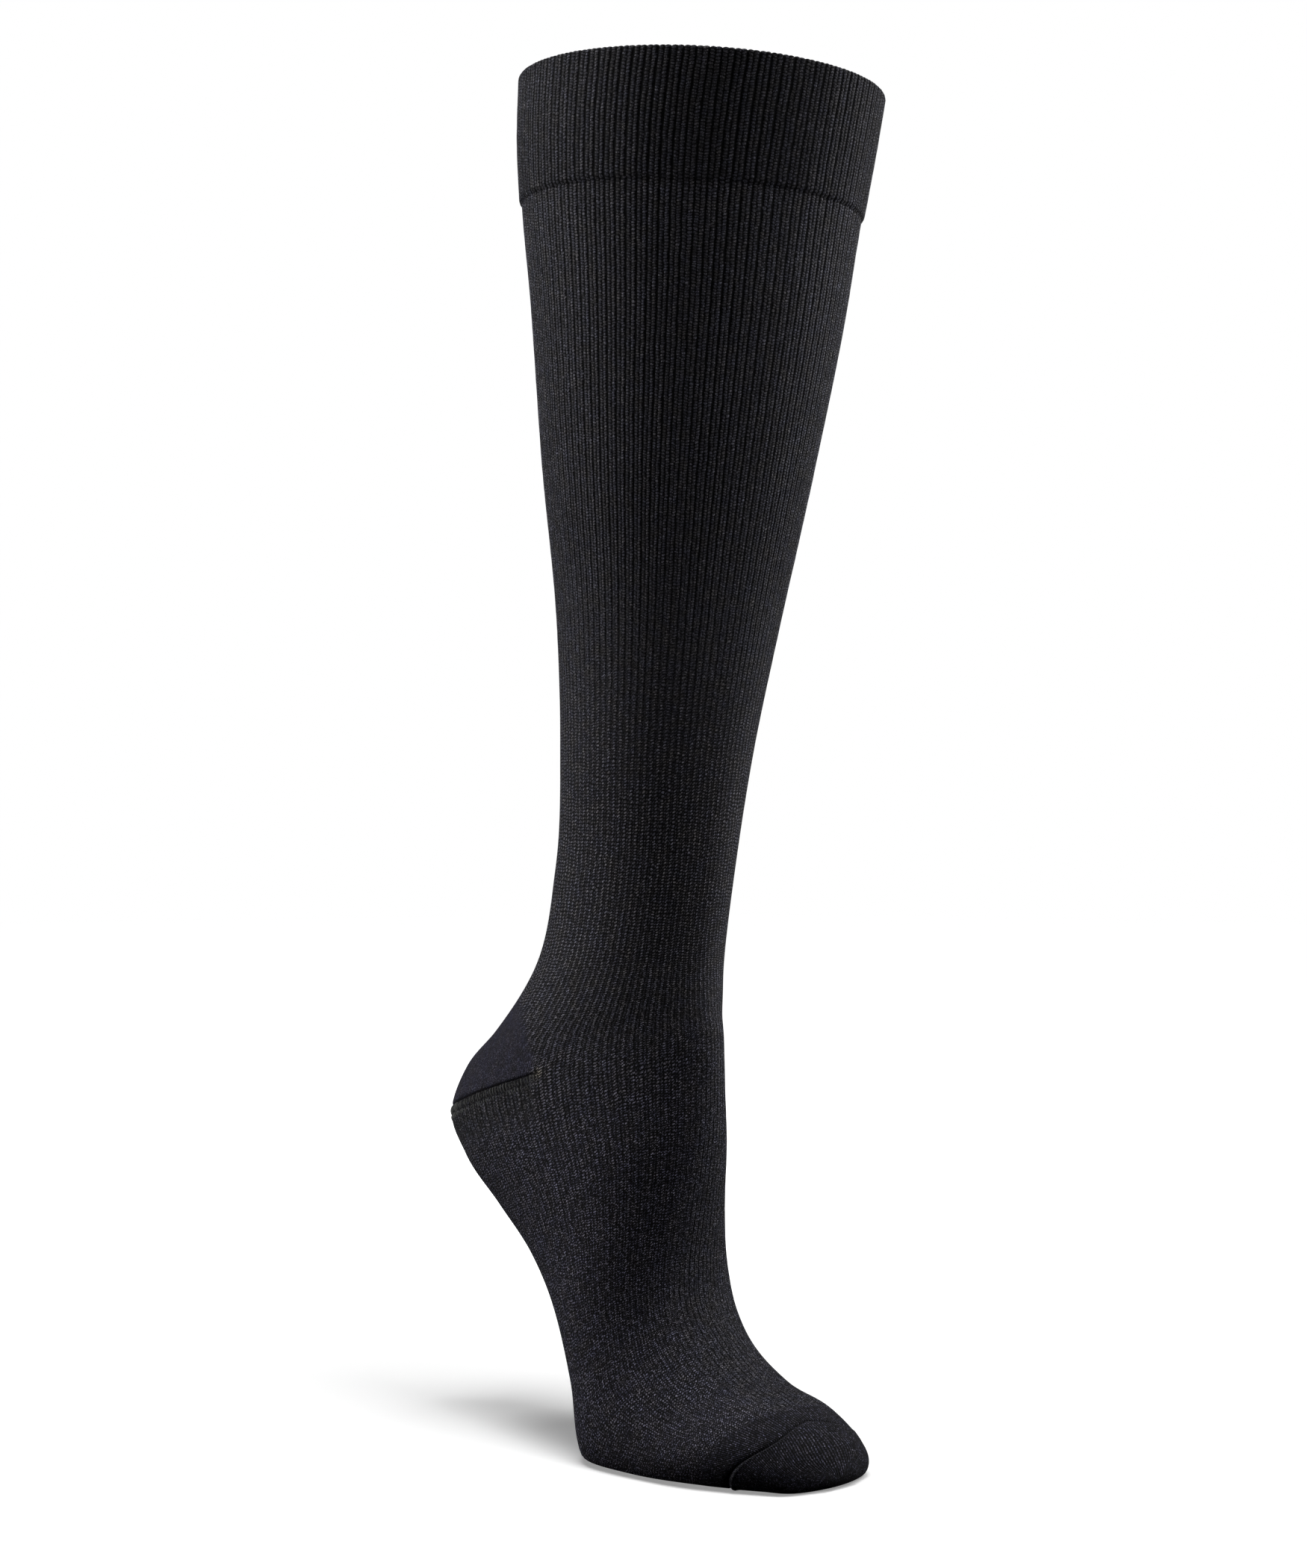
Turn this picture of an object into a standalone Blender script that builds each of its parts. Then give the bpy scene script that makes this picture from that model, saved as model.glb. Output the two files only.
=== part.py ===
"""A knee-high compression stocking, filled out as worn, its foot up on the toes.

The stocking is one knitted tube. It runs down from the mouth, bends at the ankle and closes
at the toes. SECTIONS gives the tube as a row of oval rings, and a smooth surface, the skin,
passes through them. Every piece is a wall between the skin and a second surface inside it.

Ribs run the whole length of the band, the leg and the foot. They are raised in the outer
points of the wall: each rib is a crest between two valleys. The inside is plain.

Frame: metres, +Z up, toes towards -Y, and the origin at the middle of the mouth.
"""

import math
from collections import namedtuple

import bpy
import numpy as np

MM = 0.001

# ---------------------------------------------------------------- driving sizes, in mm

RIBS = 192               # ribs round the tube, from the band to the toes
RIB_HEIGHT = 0.4         # a crest above the valleys beside it
CLOTH = 1.1              # knit under the ribs of the leg and foot
BAND_CLOTH = 1.8         # the top band is knitted double
BAND_STANDS_OUT = 0.8    # the band's face beyond the leg's face
BAND_EDGE_ROUND = 0.9    # rounding of the band's fold at the mouth
PLAIN_SUNK = 0.1         # plain knit lies this far below the crests of the ribs
SEAM_GAP = 0.3           # between two pieces
HEEL_RISE = 40.0         # height of the heel pocket, on the tube's centre line
HEEL_SPREAD = 97.0       # degrees each side of the back: the pocket takes half the needles
HEEL_FULLNESS = 3.3      # 1 would make the pocket a triangle, and more a fuller arch
PLAIN_TOE_BAND = 10.0    # plain rows between the ends of the ribs and the toe seam
SOLE_ROUND = 3.0         # how softly the sole meets the floor
PRESSED = 2.0            # ribs flatten out over this height above the floor
TIP_BULGE = 0.6          # the last point of the toe beyond the last ring
TIP_CLOTH = 2.0          # wall at that point

# ---------------------------------------------------------------- facets

RIB_POINTS = 2 * RIBS    # a crest and a valley to each rib
PLAIN_POINTS = 80        # round the plain rows of the foot
CROWN_POINTS = 80        # round the fold at the mouth
LINING_POINTS = 32       # round the plain inside of each tube
HEEL_POINTS = 64         # round a whole ring, on both sides of the heel pocket's upper edge
HEEL_ROWS = 5
TOE_POINTS = 40          # round both sides of the toe

# Each ring crosses the tube in a plane that holds the left-right direction. Its front and
# back points are in mm, forward of the ankle and up from the floor; half is its half width.
Section = namedtuple("Section", "name front_fwd front_up back_fwd back_up half")

SECTIONS = [
    Section("mouth",        95.5, 476.0,  -39.5, 491.0,  61.5),
    Section("band_middle",  90.5, 456.0,  -40.0, 468.0,  61.0),
    Section("band_seam",    85.2, 434.0,  -39.0, 444.5,  59.0),
    Section("calf_high",    79.0, 402.0,  -36.0, 412.0,  55.5),
    Section("calf_low",     66.0, 345.0,  -33.5, 352.0,  47.5),
    Section("shin",         52.5, 290.0,  -30.0, 295.0,  38.5),
    Section("ankle_high",   43.0, 248.0,  -31.5, 251.0,  32.5),
    Section("ankle",        36.0, 205.0,  -37.0, 206.0,  28.0),
    Section("ankle_low",    31.5, 175.0,  -49.0, 168.5,  28.0),
    Section("heel_top",     31.5, 161.0,  -71.5, 144.0,  29.5),
    Section("heel_back",    32.0, 154.5,  -88.5, 130.0,  30.0),
    Section("heel_tip",     33.0, 148.0,  -98.0, 113.5,  30.5),
    Section("heel_under",   33.0, 130.0,  -89.0,  96.0,  31.0),
    Section("arch_high",    32.0, 110.0,  -67.5,  79.0,  32.0),
    Section("arch",         28.0,  86.0,  -45.0,  62.0,  33.0),
    Section("arch_low",     25.0,  66.5,  -28.0,  43.0,  35.0),
    Section("ball_rear",    26.0,  53.0,  -15.5,  17.0,  37.0),
    Section("ball",         33.5,  41.5,   -5.5, -11.0,  40.5),
    Section("toe_base",     49.0,  30.0,   21.0, -14.0,  40.0),
    Section("toe_knuckle",  66.0,  24.5,   50.0, -10.0,  36.5),
    Section("toe_seam",     75.5,  20.5,   65.0,  -8.0,  31.5),
    Section("toe_middle",   82.5,  17.0,   76.5,  -6.5,  26.5),
    Section("toe_end",      88.0,  12.5,   86.0,  -5.0,  20.5),
    Section("toe_tip",      92.0,   6.5,   92.0,   1.0,   8.0),
]

# Where the rings of the leg's and the foot's walls lie: a place by name, and mm further down.
LEG_STOPS = (("calf_high", 48.0), ("shin", 11.0), ("ankle_high", 25.0), ("ankle", 21.0))
FOOT_STOPS = (("heel_tip", 14.0), ("heel_under", 12.0), ("arch", -2.0), ("arch_low", 4.0),
              ("ball_rear", 2.0), ("ball", -9.0), ("ball", 1.0), ("toe_base", -3.0))

NUMBERS = np.array([row[1:] for row in SECTIONS])
MOUTH_FWD = (SECTIONS[0].front_fwd + SECTIONS[0].back_fwd) / 2
MOUTH_UP = (SECTIONS[0].front_up + SECTIONS[0].back_up) / 2


# ---------------------------------------------------------------- the skin

def station_of_each_ring():
    """How far each ring is from the mouth: the mean of the way down the front and the back."""
    step = np.diff(NUMBERS, axis=0)
    front = np.hypot(step[:, 0], step[:, 1])
    back = np.hypot(step[:, 2], step[:, 3])
    return np.concatenate([[0.0], np.cumsum((front + back) / 2)])


STATIONS = station_of_each_ring()


def slope_of_each_ring():
    """How fast each ring's numbers change along the tube, from its two neighbours."""
    length = np.diff(STATIONS)
    pace = np.diff(NUMBERS, axis=0) / length[:, None]
    slope = np.empty_like(NUMBERS)
    slope[0] = pace[0]
    slope[-1] = pace[-1]
    before, after = length[:-1, None], length[1:, None]
    slope[1:-1] = (pace[:-1] * after + pace[1:] * before) / (before + after)
    return slope


SLOPES = slope_of_each_ring()


def station(name, further=0.0):
    """The station of a named ring, or of a place some mm further down the tube."""
    names = [row.name for row in SECTIONS]
    return STATIONS[names.index(name)] + further


def ring_numbers(at):
    """A ring's numbers at any stations, on a smooth curve through the rows of SECTIONS."""
    row = np.clip(np.searchsorted(STATIONS, at, side="right") - 1, 0, len(STATIONS) - 2)
    length = (STATIONS[row + 1] - STATIONS[row])[:, None]
    s = (at - STATIONS[row])[:, None] / length
    return (
        (2 * s**3 - 3 * s**2 + 1) * NUMBERS[row]
        + (s**3 - 2 * s**2 + s) * length * SLOPES[row]
        + (3 * s**2 - 2 * s**3) * NUMBERS[row + 1]
        + (s**3 - s**2) * length * SLOPES[row + 1]
    )


def rest_on_floor(up):
    """The sole turns softly into the floor: nothing reaches below a height of zero."""
    turning = (up + SOLE_ROUND) ** 2 / (4 * SOLE_ROUND)
    return np.where(up <= -SOLE_ROUND, 0.0, np.where(up >= SOLE_ROUND, up, turning))


def skin(at, angle):
    """Points of the skin in mm, at stations and angles. Angle 0 is the front, 90 is +X."""
    front_fwd, front_up, back_fwd, back_up, half = ring_numbers(at).T
    towards_front = np.cos(angle)
    fwd = (front_fwd + back_fwd) / 2 + (front_fwd - back_fwd) / 2 * towards_front
    up = (front_up + back_up) / 2 + (front_up - back_up) / 2 * towards_front
    return np.stack([half * np.sin(angle), MOUTH_FWD - fwd, rest_on_floor(up) - MOUTH_UP], axis=1)


def along_tube(at, angle, step=0.05):
    """How the skin's points move as the station grows."""
    low = np.maximum(at - step, STATIONS[0])
    high = np.minimum(at + step, STATIONS[-1])
    return (skin(high, angle) - skin(low, angle)) / (high - low)[:, None]


def outward(at, angle, step=0.002):
    """The skin's unit normals, pointing out of the stocking."""
    round_tube = skin(at, angle + step) - skin(at, angle - step)
    normal = np.cross(along_tube(at, angle), round_tube)
    return normal / np.linalg.norm(normal, axis=1)[:, None]


def cloth_points(at, angle, depth, shift=0.0):
    """Points depth mm under the skin, moved shift mm along the cloth, towards the toes."""
    angle = np.asarray(angle, dtype=float)
    at = np.zeros_like(angle) + at
    if shift:
        at = at + shift / np.linalg.norm(along_tube(at, angle), axis=1)
    return skin(at, angle) - outward(at, angle) * (np.zeros_like(angle) + depth)[:, None]


# ---------------------------------------------------------------- rings of points

def angles_of(count):
    return np.arange(count) * 2 * math.pi / count


def plain_ring(at, count, depth, shift=0.0):
    """A closed ring of points. at may be a station, or a function of the angles."""
    angle = angles_of(count)
    where = at(angle) if callable(at) else at
    return cloth_points(where, angle, depth, shift)


def ribbed_ring(at, depth=0.0, shift=0.0):
    """A closed ring whose points are crests and valleys in turn, pressed flat at the floor."""
    face = plain_ring(at, RIB_POINTS, depth, shift)
    above_floor = face[:, 2] + MOUTH_UP
    height = RIB_HEIGHT * np.clip(above_floor / PRESSED, 0.0, 1.0)
    height[0::2] = 0.0
    return plain_ring(at, RIB_POINTS, depth + height, shift)


# ---------------------------------------------------------------- meshes

class Wall:
    """Collects the points and triangles of one closed wall."""

    def __init__(self):
        self.points = []
        self.faces = []

    def add_points(self, points):
        first = len(self.points)
        self.points.extend(map(tuple, points))
        return list(range(first, len(self.points)))

    def zip_rings(self, upper, lower):
        """Join two closed rings whose counts may differ, stepping along whichever lags."""
        above, below = 0, 0
        while above < len(upper) or below < len(lower):
            next_above = (above + 1) / len(upper)
            next_below = (below + 1) / len(lower)
            left_up = upper[above % len(upper)]
            left_down = lower[below % len(lower)]
            if next_below <= next_above:
                self.faces.append((left_up, left_down, lower[(below + 1) % len(lower)]))
                below += 1
            else:
                self.faces.append((left_up, left_down, upper[(above + 1) % len(upper)]))
                above += 1

    def close_with_point(self, ring, point, ring_is_upper):
        """Close a ring with a fan of triangles to one point."""
        tip = self.add_points([point])[0]
        for here, there in zip(ring, ring[1:] + ring[:1]):
            self.faces.append((here, tip, there) if ring_is_upper else (here, there, tip))

    def add_quad(self, a, b, c, d):
        self.faces.append((a, b, c))
        self.faces.append((a, c, d))

    def make_object(self, name, colour, roughness):
        mesh = bpy.data.meshes.new(name)
        mesh.from_pydata([[c * MM for c in point] for point in self.points], [], self.faces)
        mesh.shade_smooth()
        mesh.set_sharp_from_angle(angle=math.radians(60))
        mesh.materials.append(knit_material(name + "_knit", colour, roughness))
        piece = bpy.data.objects.new(name, mesh)
        bpy.context.scene.collection.objects.link(piece)
        return piece


def knit_material(name, colour, roughness):
    material = bpy.data.materials.new(name)
    material.use_nodes = True
    shader = material.node_tree.nodes["Principled BSDF"]
    shader.inputs["Base Color"].default_value = (*colour, 1.0)
    shader.inputs["Roughness"].default_value = roughness
    shader.inputs["Metallic"].default_value = 0.0
    return material


def tube_wall(outer_rings, lining_rings):
    """A wall between two rows of rings, both given from the top down."""
    wall = Wall()
    rings = [wall.add_points(ring) for ring in outer_rings + lining_rings[::-1]]
    for upper, lower in zip(rings, rings[1:] + rings[:1]):
        wall.zip_rings(upper, lower)
    return wall


def places_between(start, end, count):
    """Evenly spaced stations, both ends included."""
    return [start + (end - start) * i / count for i in range(count + 1)]


# ---------------------------------------------------------------- the pieces

def heel_edge(angle):
    """Stations of the edge that the leg ends on: up and over the heel pocket at the back."""
    share = np.abs(np.degrees(angle) - 180.0) / HEEL_SPREAD
    return station("heel_tip") - HEEL_RISE * np.clip(1.0 - share**HEEL_FULLNESS, 0.0, 1.0)


def above_heel_edge(angle):
    """Half way from the leg's last level stop to the edge over the heel."""
    return (station(*LEG_STOPS[-1]) + heel_edge(angle)) / 2


def make_top_band():
    """The double band at the mouth: ribbed outside, with a rounded fold for its top edge."""
    top, seam = station("mouth"), station("band_seam")
    face = -BAND_STANDS_OUT
    back = face + RIB_HEIGHT + BAND_CLOTH
    crown = plain_ring(top, CROWN_POINTS, (face + back) / 2)
    outer = [crown]
    outer.append(ribbed_ring(top + BAND_EDGE_ROUND, face))
    outer.append(ribbed_ring(seam, face, -SEAM_GAP / 2))
    lining = [
        plain_ring(top + BAND_EDGE_ROUND, LINING_POINTS, back),
        plain_ring(seam, LINING_POINTS, back, -SEAM_GAP / 2),
    ]
    return tube_wall(outer, lining).make_object("top_band", (0.012, 0.012, 0.014), 0.85)


def make_leg():
    """The ribbed leg, from the band's seam to the ankle, cut away behind for the heel."""
    back = RIB_HEIGHT + CLOTH
    seam = station("band_seam")
    stops = [station(*stop) for stop in LEG_STOPS]
    outer = [ribbed_ring(seam, 0.0, SEAM_GAP / 2)]
    outer += [ribbed_ring(stop) for stop in stops + [above_heel_edge]]
    outer.append(ribbed_ring(heel_edge, 0.0, -SEAM_GAP / 2))
    lining = [plain_ring(seam, LINING_POINTS, back, SEAM_GAP / 2)]
    lining += [plain_ring(stop, LINING_POINTS, back) for stop in stops]
    lining.append(plain_ring(above_heel_edge, HEEL_POINTS, back))
    lining.append(plain_ring(heel_edge, HEEL_POINTS, back, -SEAM_GAP / 2))
    return tube_wall(outer, lining).make_object("leg", (0.013, 0.013, 0.015), 0.85)


def make_heel_pocket():
    """The plain pocket of the heel, between the leg's cut edge and the foot's first ring."""
    wall = Wall()
    to_side = int(HEEL_SPREAD / 360.0 * HEEL_POINTS)
    columns = math.pi + np.arange(-to_side, to_side + 1) * 2 * math.pi / HEEL_POINTS
    faces = []
    for depth in (PLAIN_SUNK, RIB_HEIGHT + CLOTH):
        top = cloth_points(heel_edge(columns), columns, depth, SEAM_GAP / 2)
        rows = [wall.add_points(top)]
        for step in range(1, HEEL_ROWS):
            share = step / HEEL_ROWS
            level = heel_edge(columns) * (1 - share) + station("heel_tip") * share
            rows.append(wall.add_points(cloth_points(level, columns, depth)))
        foot_side = cloth_points(station("heel_tip"), columns, depth, -SEAM_GAP / 2)
        rows.append(wall.add_points(foot_side))
        faces.append(rows)
    outer, lining = faces
    for upper, lower, in_upper, in_lower in zip(outer, outer[1:], lining, lining[1:]):
        for i in range(2 * to_side):
            wall.add_quad(upper[i], lower[i], lower[i + 1], upper[i + 1])
            wall.add_quad(in_upper[i], in_upper[i + 1], in_lower[i + 1], in_lower[i])
        wall.add_quad(upper[0], in_upper[0], in_lower[0], lower[0])
        wall.add_quad(upper[-1], lower[-1], in_lower[-1], in_upper[-1])
    for i in range(2 * to_side):
        wall.add_quad(outer[0][i], outer[0][i + 1], lining[0][i + 1], lining[0][i])
        wall.add_quad(outer[-1][i], lining[-1][i], lining[-1][i + 1], outer[-1][i + 1])
    return wall.make_object("heel_pocket", (0.022, 0.022, 0.026), 0.8)


def make_foot():
    """The ribbed foot, from the heel seam down to the ball, with plain rows before the toe."""
    back = RIB_HEIGHT + CLOTH
    start, seam = station("heel_tip"), station("toe_seam")
    ribs_end = seam - PLAIN_TOE_BAND
    stops = [station(*stop) for stop in FOOT_STOPS]
    outer = [ribbed_ring(start, 0.0, SEAM_GAP / 2)]
    outer += [ribbed_ring(stop) for stop in stops]
    outer.append(ribbed_ring(ribs_end))
    plain_rows = places_between(ribs_end + RIB_HEIGHT, seam, 2)
    outer += [plain_ring(row, PLAIN_POINTS, PLAIN_SUNK) for row in plain_rows[:-1]]
    outer.append(plain_ring(seam, PLAIN_POINTS, PLAIN_SUNK, -SEAM_GAP / 2))
    lining = [plain_ring(start, LINING_POINTS, back, SEAM_GAP / 2)]
    lining += [plain_ring(stop, LINING_POINTS, back) for stop in stops + [ribs_end]]
    lining.append(plain_ring(seam, LINING_POINTS, back, -SEAM_GAP / 2))
    return tube_wall(outer, lining).make_object("foot", (0.018, 0.018, 0.021), 0.85)


def make_toe_cap():
    """The plain toe, from its seam round to a closed tip."""
    back = RIB_HEIGHT + CLOTH
    seam, end, tip = station("toe_seam"), station("toe_end"), station("toe_tip")
    wall = Wall()
    lining = [plain_ring(seam, TOE_POINTS, back, SEAM_GAP / 2)]
    lining += [plain_ring(row, TOE_POINTS, back) for row in places_between(seam, end, 2)[1:]]
    outer = [plain_ring(seam, TOE_POINTS, 0.0, SEAM_GAP / 2)]
    outer += [plain_ring(row, TOE_POINTS, 0.0) for row in places_between(seam, end, 3)[1:]]
    outer += [plain_ring(row, TOE_POINTS, 0.0) for row in places_between(end, tip, 2)[1:]]
    rings = [wall.add_points(ring) for ring in lining[::-1] + outer]
    for upper, lower in zip(rings, rings[1:]):
        wall.zip_rings(upper, lower)
    middle = outer[-1].mean(axis=0)
    beyond = np.array([0.0, -1.0, 0.0])
    wall.close_with_point(rings[-1], middle + beyond * TIP_BULGE, True)
    wall.close_with_point(rings[0], middle + beyond * (TIP_BULGE - TIP_CLOTH), False)
    return wall.make_object("toe_cap", (0.016, 0.016, 0.02), 0.8)


def clear_scene():
    for thing in list(bpy.data.objects):
        bpy.data.objects.remove(thing)


def main():
    clear_scene()
    stocking = bpy.data.objects.new("stocking", None)
    bpy.context.scene.collection.objects.link(stocking)
    for make in (make_top_band, make_leg, make_heel_pocket, make_foot, make_toe_cap):
        make().parent = stocking


main()
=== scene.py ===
"""The looks of a knee-high compression stocking, knitted in black.

Five knitted shells stand on the forms of the five solids: the doubled top band, the ribbed
leg, the plain heel pocket, the ribbed foot and the plain toe. Rows of linking stitches lie
along the seams. The knit runs in wales, which go down the tube, and courses, which go round
it: every point of a shell carries its wale and its course, and the stitches are drawn there.

Sizes of the knit are in mm. The frame and all that is built in it are in metres.
"""

import math
from collections import namedtuple

import bpy
import numpy as np
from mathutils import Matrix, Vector


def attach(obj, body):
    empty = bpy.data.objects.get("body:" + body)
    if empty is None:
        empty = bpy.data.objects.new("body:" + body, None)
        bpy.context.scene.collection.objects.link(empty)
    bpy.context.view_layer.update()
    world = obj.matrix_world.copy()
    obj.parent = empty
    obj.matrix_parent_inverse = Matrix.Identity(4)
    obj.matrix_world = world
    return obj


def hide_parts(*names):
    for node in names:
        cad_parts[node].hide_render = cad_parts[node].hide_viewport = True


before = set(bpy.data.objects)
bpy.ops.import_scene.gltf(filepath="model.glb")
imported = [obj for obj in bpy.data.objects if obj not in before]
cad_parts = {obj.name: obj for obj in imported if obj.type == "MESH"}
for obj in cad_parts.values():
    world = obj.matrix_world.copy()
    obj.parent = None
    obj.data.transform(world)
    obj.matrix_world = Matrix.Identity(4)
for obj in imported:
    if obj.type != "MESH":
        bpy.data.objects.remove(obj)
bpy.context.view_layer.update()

MM = 0.001
BODY = "root"

# ---------------------------------------------------------------- sizes of the knit, in mm

RIBS = 192               # raised legs of stitches round the tube: two make one wale
RIB_HEIGHT = 0.4         # a crest above the valleys beside it
RIB_ROUNDNESS = 2.2      # 1 would make the ribs pointed, and more makes them rounder
PAIRING = 0.45           # ribs stand in pairs: the valley within a pair is filled by this share
WAVER = 0.42             # they wander sideways by this at most, and mostly by less than half
WAVER_OVER = (3.0, 9.0)  # in patches of about so many ribs and courses
UNEVEN = 0.35            # and vary in height by this share at most
UNEVEN_OVER = (1.5, 5.0)
CLOTH = 1.1              # knit under the ribs
INSIDE = RIB_HEIGHT + CLOTH  # how deep its inner face lies
PLAIN_SUNK = 0.1         # plain knit lies this far below the crests
SOLE_ROUND = 3.0         # how softly the sole meets the floor
PRESSED = 2.0            # ribs flatten out over this height above the floor

# Where the knit is loose.
LOOSE_FROM = 150.0       # station where its stitches begin to stand apart
LOOSE_FULL = 270.0       # and where they all do
LOOSE_RELIEF = 0.2       # height of the ribs there, as a share of full
INSTEP_ANGLE = 20.0      # the ribs show again on the instep, about this angle
INSTEP_EDGE = 0.7        # cosine of the angle from there to the instep's edge
INSTEP_BLEND = 0.25      # and by how much it grows before they show in full
INSTEP_FROM = 320.0      # between these stations they come back
INSTEP_FULL = 420.0
RIBBED_SHARE = 0.6       # and by how much less loose the knit is there

# The band, knitted double.
BAND_CLOTH = 1.8
BAND_STANDS_OUT = 0.8    # its face beyond the leg's
BAND_ROLL = 2.6          # its lower edge turns in over this length
BAND_TUCK = 1.0          # and as deep as this

# Creases along the seams of heel and toe.
CREASE_SIDE = 0.9        # width of each side
CREASE_SHADE = 0.9             # painted shade at the bottom of a crease, as a share of full darkness
HEEL_CREASE = 0.7        # depth of the heel's
TOE_CREASE = 1.1         # and of the toe's, where it is deepest
CREASE_LEAST = 0.25      # share of that depth that it keeps on the +X side
CREASE_TURN = 0.6        # how fast it deepens from there round to the -X side

# The heel.
HEEL_RISE = 40.0         # from its tip to its upper edge, down the back
HEEL_SPREAD = 97.0       # degrees to each side of the back
HEEL_FULLNESS = 3.3      # more makes its upper corners squarer
HEEL_FADE = 7.0          # the ribs run out into it over this length
HEEL_SIDE_FADE = 6.0     # degrees at its sides, where its crease and the open knit fade out
MM_PER_DEGREE = 0.9      # round the tube there
GORE_REACH = 2.3         # stretched stitches round each end of its row of loops
GORE_BELOW = 0.5         # and how far under the row they lie

# The toe.
PLAIN_TOE_BAND = 10.0    # the ribs stop this far before its seam
TOE_FADE = 3.0           # and run out over this length
TOE_EDGE = 0.15          # the toe's edge stands up beside its crease
TOE_SLANT = 0.9          # ribs' width that the toe's wales move, at its sides, for each mm
TIP_BULGE = 0.6
SEAM_BEND = 5.3          # the toe seam runs further forward at this angle from the top
SEAM_BEND_AT = 38.0
SEAM_BEND_SPREAD = 34.0

# Rows of linking stitches.
STITCH_YARN = 0.38       # thickness of their yarn
STITCH_RISE = 0.3        # how far a stitch arches up
STITCH_LEAN = 20.0       # degrees that it leans from the way down the tube
ENDS_SUNK = 0.3          # its ends lie lower by this share of the yarn
YARN_SEGMENTS = 6        # along a stitch, and round its yarn
LOOPS_ROUND_HEEL = 135   # in each row along the heel's lower edge
LOOPS_SPREAD = 97.0      # degrees to each side of the back
LOOPS_SUNK = 0.2         # depth of the loops' ends
LOOPS_LEAST = 0.55       # smallest loop, as a share of full size
LOOPS_VARY = 0.7         # and how much larger others are
LOOPS_REACH = 22.0       # the open, ladder-like knit under them reaches this far
LADDER_HOLDS = 1.6       # more keeps that knit open for longer before it closes
LADDER_SHADE = 0.2        # painted shade darkens its other yarn by this share
UNDER_LOOPS_SHADE = 0.75        # and painted shade darkens it by this one right under the loops
LOOP_SHADE_LENGTH = 5.5        # over this length
LOOP_SHADE_FADE = 2.0   # the last of which fades
LINKS_ROUND_TOE = 155
LINKS_SUNK = 0.15        # depth of the links' ends where there is no crease
LINKS_RAISED = 0.25      # and how much higher they lie where the crease is deepest
LINKS_LEAST = 0.85       # smallest link, as a share of full size
LINKS_VARY = 0.3

# How closely the rings of points lie: pitches and distances in mm, and numbers of rings.
PITCH = 2.4
BAND_EDGE_RINGS = (0.0, 0.5, 1.0, 1.6, 2.3, 3.2)  # above the band's lower edge
BAND_EVEN_FROM = 5.0                              # and evenly from here up
BAND_INSIDE_PITCH = 4.4
FOLD_TURNS = range(20, 180, 20)                   # degrees, over the fold at the mouth
LEG_RINGS = 112
INSIDE_RINGS = 44                                 # of the leg, and of the foot
HEEL_SHARES = np.array([*np.linspace(0.0, 0.94, 34), 0.97, 0.985, 1.0])  # of the way down it
HEEL_SIDE_CLEAR = 0.003                           # radians from a side to the next column
NEAR_SEAM = np.array([0.0, 0.3, 0.6, CREASE_SIDE])
FOOT_EVEN_FROM = 3.0                              # past the heel seam
BEFORE_TOE_RINGS = 7
TOE_RINGS = 26
TOE_INSIDE_RINGS = 14
TOE_INSIDE_ENDS = 4.0                             # the last of them lies this far before the tip
TOE_INSIDE_TIP = 3.0                              # and their closing point this far

# How high one course of stitches is, at stations along the tube.
COURSE_STATIONS = [0.0, 45.0, 60.0, 190.0, 260.0, 330.0, 420.0, 590.0]
COURSE_HEIGHTS = [1.05, 1.05, 0.97, 0.97, 1.20, 1.20, 1.06, 1.02]

# Each ring crosses the tube in a plane that holds the left-right direction. Its front and
# back points are forward of the ankle and up from the floor; half is its half width.
Section = namedtuple("Section", "name front_fwd front_up back_fwd back_up half")

SECTIONS = [
    Section("mouth",        95.5, 476.0,  -39.5, 491.0,  61.5),
    Section("band_middle",  90.5, 456.0,  -40.0, 468.0,  61.0),
    Section("band_seam",    85.2, 434.0,  -39.0, 444.5,  59.0),
    Section("calf_high",    79.0, 402.0,  -36.0, 412.0,  55.5),
    Section("calf_low",     66.0, 345.0,  -33.5, 352.0,  47.5),
    Section("shin",         52.5, 290.0,  -30.0, 295.0,  38.5),
    Section("ankle_high",   43.0, 248.0,  -31.5, 251.0,  32.5),
    Section("ankle",        36.0, 205.0,  -37.0, 206.0,  28.0),
    Section("ankle_low",    31.5, 175.0,  -49.0, 168.5,  28.0),
    Section("heel_top",     31.5, 161.0,  -71.5, 144.0,  29.5),
    Section("heel_back",    32.0, 154.5,  -88.5, 130.0,  30.0),
    Section("heel_tip",     33.0, 148.0,  -98.0, 113.5,  30.5),
    Section("heel_under",   33.0, 130.0,  -89.0,  96.0,  31.0),
    Section("arch_high",    32.0, 110.0,  -67.5,  79.0,  32.0),
    Section("arch",         28.0,  86.0,  -45.0,  62.0,  33.0),
    Section("arch_low",     25.0,  66.5,  -28.0,  43.0,  35.0),
    Section("ball_rear",    26.0,  53.0,  -15.5,  17.0,  37.0),
    Section("ball",         33.5,  41.5,   -5.5, -11.0,  40.5),
    Section("toe_base",     49.0,  30.0,   21.0, -14.0,  40.0),
    Section("toe_knuckle",  66.0,  24.5,   50.0, -10.0,  36.5),
    Section("toe_seam",     75.5,  20.5,   65.0,  -8.0,  31.5),
    Section("toe_middle",   82.5,  17.0,   76.5,  -6.5,  26.5),
    Section("toe_end",      88.0,  12.5,   86.0,  -5.0,  20.5),
    Section("toe_tip",      92.0,   6.5,   92.0,   1.0,   8.0),
]

NUMBERS = np.array([row[1:] for row in SECTIONS])
MOUTH_FWD = (SECTIONS[0].front_fwd + SECTIONS[0].back_fwd) / 2
MOUTH_UP = (SECTIONS[0].front_up + SECTIONS[0].back_up) / 2
FLOOR = -MOUTH_UP * MM


# ---------------------------------------------------------------- the stocking's skin

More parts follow.
